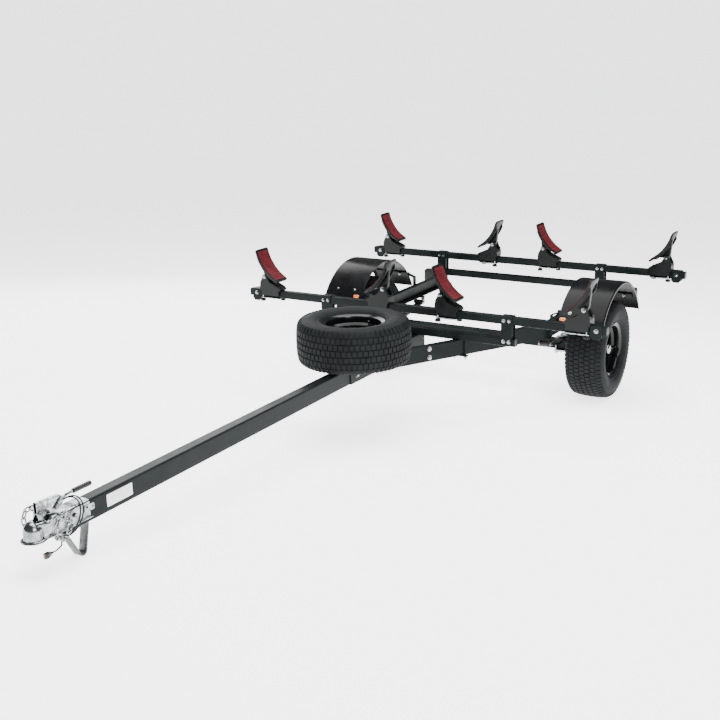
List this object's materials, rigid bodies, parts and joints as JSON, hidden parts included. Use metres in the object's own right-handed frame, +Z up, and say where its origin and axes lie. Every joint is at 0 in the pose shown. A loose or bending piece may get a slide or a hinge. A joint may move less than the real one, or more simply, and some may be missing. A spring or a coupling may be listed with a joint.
{
  "type": "kayak trailer",
  "caption": "Light road trailer that carries kayaks: a ball coupler on a long tongue, load bars with tilting hull cradles, leaf springs, fenders and a spare wheel.",
  "frame": {"origin": "on the ground, under the middle of the parked trailer", "axes": "+X to the trailer's left, +Y to its rear, +Z up; it is parked on its tyres and tongue stand, nose down by 4.7 degrees"},
  "size_m": [1.97, 4.0028, 0.8482],
  "materials": {
    "black_steel": "satin black powder coat",
    "black_sheet": "gloss black paint on sheet steel",
    "zinc": "bright zinc plate",
    "strap_steel": "dull grey coat on steel strap",
    "spring_steel": "dark paint on spring steel",
    "tyre_rubber": "matt black rubber",
    "rim_paint": "gloss black paint",
    "black_plastic": "matt black moulded plastic",
    "lens_plastic": "clear red lens"
  },
  "bodies": {
    "chassis": {"tongue_beam": "black_steel", "rail_left": "black_steel", "rail_right": "black_steel", "front_crossbeam": "black_steel", "rear_crossbeam": "black_steel", "bar_front": "black_steel", "bar_rear": "black_steel", "riser_front_left": "black_steel", "riser_front_right": "black_steel", "riser_rear_left": "black_steel", "riser_rear_right": "black_steel", "strap_anchor_front_left": "black_steel", "strap_anchor_front_right": "black_steel", "strap_anchor_rear_left": "black_steel", "strap_anchor_rear_right": "black_steel", "cradle_base_front_left_outer": "black_plastic", "cradle_base_front_left_inner": "black_plastic", "cradle_base_front_right_outer": "black_plastic", "cradle_base_front_right_inner": "black_plastic", "cradle_base_rear_left_outer": "black_plastic", "cradle_base_rear_left_inner": "black_plastic", "cradle_base_rear_right_outer": "black_plastic", "cradle_base_rear_right_inner": "black_plastic", "leaf_spring_left": "spring_steel", "leaf_spring_right": "spring_steel", "spare_rim": "rim_paint", "spare_tyre": "tyre_rubber", "spare_carrier": "zinc", "fender_left": "black_sheet", "fender_right": "black_sheet", "fender_bracket_left": "black_steel", "fender_bracket_right": "black_steel", "tail_light_left": "lens_plastic", "tail_light_right": "lens_plastic", "coupler_body": "zinc", "tongue_stand": "strap_steel", "safety_chain_left": "zinc", "safety_chain_right": "zinc", "wiring_lead": "black_plastic", "wiring_connector": "black_plastic"},
    "axle": {"axle": "black_steel", "spring_clamp_left": "zinc", "spring_clamp_right": "zinc"},
    "wheel_left": {"hub_left": "zinc", "rim_left": "rim_paint", "tyre_left": "tyre_rubber"},
    "wheel_right": {"hub_right": "zinc", "rim_right": "rim_paint", "tyre_right": "tyre_rubber"},
    "latch": {"coupler_latch": "zinc", "latch_grip": "black_plastic"},
    "ball_clamp": {"ball_clamp": "zinc"},
    "wing_front_left_outer": {"cradle_wing_front_left_outer": "black_plastic"},
    "wing_front_left_inner": {"cradle_wing_front_left_inner": "black_plastic"},
    "wing_front_right_outer": {"cradle_wing_front_right_outer": "black_plastic"},
    "wing_front_right_inner": {"cradle_wing_front_right_inner": "black_plastic"},
    "wing_rear_left_outer": {"cradle_wing_rear_left_outer": "black_plastic"},
    "wing_rear_left_inner": {"cradle_wing_rear_left_inner": "black_plastic"},
    "wing_rear_right_outer": {"cradle_wing_rear_right_outer": "black_plastic"},
    "wing_rear_right_inner": {"cradle_wing_rear_right_inner": "black_plastic"}
  },
  "joints": [
    {"name": "axle_travel", "type": "slide", "parent": "chassis", "child": "axle", "axis": [0, -0.0822, 0.9966], "range_m": [-0.03, 0.03], "stiffness_N_per_m": 50000, "springref_m": -0.0162, "deforming": ["leaf_spring_left", "leaf_spring_right"]},
    {"name": "wheel_spin_left", "type": "hinge", "parent": "axle", "child": "wheel_left", "pos_m": [0.6975, 1.28403, 0.26], "axis": [1, 0, 0], "continuous": true},
    {"name": "wheel_spin_right", "type": "hinge", "parent": "axle", "child": "wheel_right", "pos_m": [-0.6975, 1.28403, 0.26], "axis": [1, 0, 0], "continuous": true},
    {"name": "latch_lift", "type": "hinge", "parent": "chassis", "child": "latch", "pos_m": [0, -1.93989, 0.19311], "axis": [1, 0, 0], "range_deg": [0, 70]},
    {"name": "clamp_swing", "type": "hinge", "parent": "chassis", "child": "ball_clamp", "pos_m": [0, -1.87872, 0.15702], "axis": [1, 0, 0], "range_deg": [0, 12.6]},
    {"name": "wing_tilt_front_left_outer", "type": "hinge", "parent": "chassis", "child": "wing_front_left_outer", "pos_m": [0.879, 0.50674, 0.59019], "axis": [0, 0.9966, 0.0822], "range_deg": [-12, 12]},
    {"name": "wing_tilt_front_left_inner", "type": "hinge", "parent": "chassis", "child": "wing_front_left_inner", "pos_m": [0.161, 0.50674, 0.59019], "axis": [0, -0.9966, -0.0822], "range_deg": [-12, 12]},
    {"name": "wing_tilt_front_right_outer", "type": "hinge", "parent": "chassis", "child": "wing_front_right_outer", "pos_m": [-0.879, 0.50674, 0.59019], "axis": [0, -0.9966, -0.0822], "range_deg": [-12, 12]},
    {"name": "wing_tilt_front_right_inner", "type": "hinge", "parent": "chassis", "child": "wing_front_right_inner", "pos_m": [-0.161, 0.50674, 0.59019], "axis": [0, 0.9966, 0.0822], "range_deg": [-12, 12]},
    {"name": "wing_tilt_rear_left_outer", "type": "hinge", "parent": "chassis", "child": "wing_rear_left_outer", "pos_m": [0.879, 1.83522, 0.69983], "axis": [0, 0.9966, 0.0822], "range_deg": [-12, 12]},
    {"name": "wing_tilt_rear_left_inner", "type": "hinge", "parent": "chassis", "child": "wing_rear_left_inner", "pos_m": [0.161, 1.83522, 0.69983], "axis": [0, -0.9966, -0.0822], "range_deg": [-12, 12]},
    {"name": "wing_tilt_rear_right_outer", "type": "hinge", "parent": "chassis", "child": "wing_rear_right_outer", "pos_m": [-0.879, 1.83522, 0.69983], "axis": [0, -0.9966, -0.0822], "range_deg": [-12, 12]},
    {"name": "wing_tilt_rear_right_inner", "type": "hinge", "parent": "chassis", "child": "wing_rear_right_inner", "pos_m": [-0.161, 1.83522, 0.69983], "axis": [0, 0.9966, 0.0822], "range_deg": [-12, 12]}
  ],
  "couplings": [
    {"joint": "clamp_swing", "follows": "latch_lift", "ratio": 0.18}
  ]
}
